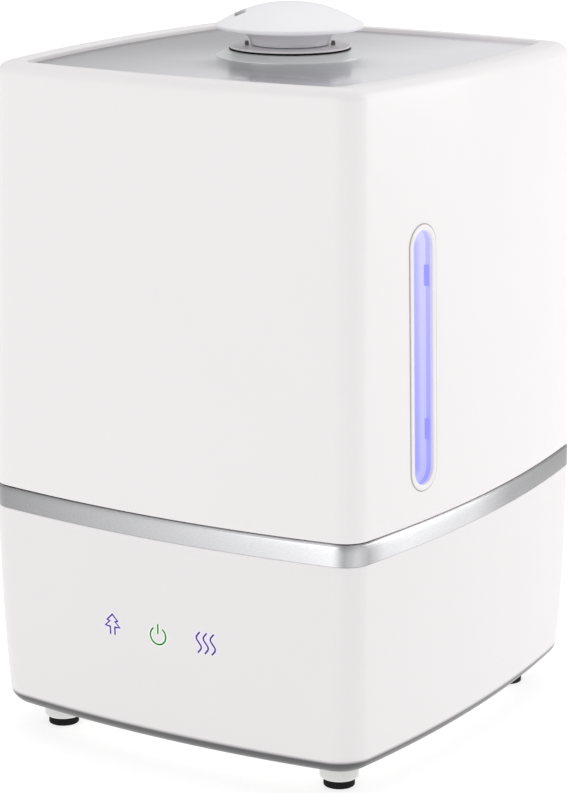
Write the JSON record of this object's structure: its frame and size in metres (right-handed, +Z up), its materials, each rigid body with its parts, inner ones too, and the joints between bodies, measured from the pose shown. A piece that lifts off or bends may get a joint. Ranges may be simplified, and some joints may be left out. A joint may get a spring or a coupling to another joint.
{
  "type": "cool mist humidifier",
  "caption": "Square ultrasonic cool mist humidifier: white lift-off tank with lit side window and turning mist nozzle, on a base with a silver band, touch icons, mist maker and fan.",
  "frame": {"origin": "on the floor, at the middle of the body's outline, under the mist outlet", "axes": "+Z up, the front with the touch icons faces -Y, the water window is in the +X side"},
  "size_m": [0.185, 0.197, 0.2947],
  "materials": {
    "white_shell": "satin white ABS",
    "white_inner": "moulded white ABS",
    "silver_band": "satin silver plating",
    "deck": "glossy brushed silver",
    "clear_violet": "clear plastic lit violet from inside",
    "clear_plastic": "clear polycarbonate",
    "rubber": "matt black",
    "silicone": "translucent grey silicone",
    "icon_violet": "backlit print",
    "icon_green": "backlit print",
    "steel": "zinc-plated",
    "heat_metal": "extruded",
    "piezo": "ceramic disc with nickel face",
    "board": "green circuit board",
    "black_plastic": "moulded black",
    "float_foam": "closed-cell foam",
    "magnet": "ferrite"
  },
  "bodies": {
    "base": {"base_shell": "white_shell", "trim_band": "silver_band", "bottom_cover": "white_inner", "cover_screws": "steel", "foot_bosses": "white_inner", "foot_pad_front_right": "rubber", "foot_pad_back_right": "rubber", "foot_pad_back_left": "rubber", "foot_pad_front_left": "rubber", "water_basin": "white_inner", "mist_well": "white_inner", "air_tower": "white_inner", "basin_pillars": "white_inner", "transducer_disc": "piezo", "transducer_seal": "silicone", "transducer_clamp": "steel", "transducer_screws": "steel", "light_board": "board", "light_guide": "clear_plastic", "float_clip": "white_inner", "reed_switch": "clear_plastic", "fan_frame": "black_plastic", "fan_screws": "steel", "air_duct": "white_inner", "power_board": "board", "driver_board": "board", "board_screws": "steel", "heat_sink": "heat_metal", "ioniser_module": "black_plastic", "control_board": "board", "control_screws": "steel", "touch_springs": "steel", "dc_inlet": "black_plastic", "icon_tree": "icon_violet", "icon_power": "icon_green", "icon_mist": "icon_violet"},
    "tank": {"tank_shell": "white_shell", "tank_floor": "clear_plastic", "filler_neck": "clear_plastic", "mist_chimney": "clear_plastic", "chimney_seal": "silicone", "deck_panel": "deck", "outlet_ring": "deck", "window_bezel": "white_shell", "window_lens": "clear_violet", "window_clips": "clear_violet", "window_seal": "silicone"},
    "tank_cap": {"tank_cap": "white_inner", "cap_gasket": "silicone"},
    "valve": {"valve_stem": "white_inner", "valve_seal": "silicone", "valve_spring": "steel"},
    "nozzle_base": {"nozzle_collar": "white_shell", "nozzle_gasket": "rubber"},
    "nozzle_head": {"nozzle_neck": "white_shell", "nozzle_cap": "white_shell"},
    "float": {"float_ring": "float_foam", "float_magnet": "magnet"},
    "fan_rotor": {"fan_rotor": "black_plastic"}
  },
  "joints": [
    {"name": "tank_lift", "type": "slide", "parent": "base", "child": "tank", "axis": [0, 0, 1], "range_m": [0, 0.12]},
    {"name": "nozzle_lift", "type": "slide", "parent": "tank", "child": "nozzle_base", "axis": [0, 0, 1], "range_m": [0, 0.05]},
    {"name": "nozzle_turn", "type": "hinge", "parent": "nozzle_base", "child": "nozzle_head", "pos_m": [0, 0, 0.28], "axis": [0, 0, 1], "continuous": true},
    {"name": "cap_turn", "type": "hinge", "parent": "tank", "child": "tank_cap", "pos_m": [0, 0.064, 0.088], "axis": [0, 0, 1], "range_deg": [0, 270]},
    {"name": "valve_travel", "type": "slide", "parent": "tank_cap", "child": "valve", "axis": [0, 0, 1], "range_m": [-0.005, 0], "deforming": ["valve_spring"]},
    {"name": "float_rise", "type": "slide", "parent": "base", "child": "float", "axis": [0, 0, 1], "range_m": [0, 0.004]},
    {"name": "fan_spin", "type": "hinge", "parent": "base", "child": "fan_rotor", "pos_m": [0.038, 0, 0.026], "axis": [0, 0, 1], "continuous": true}
  ],
  "couplings": [
    {"joint": "valve_travel", "follows": "tank_lift", "ratio": -0.041667}
  ]
}
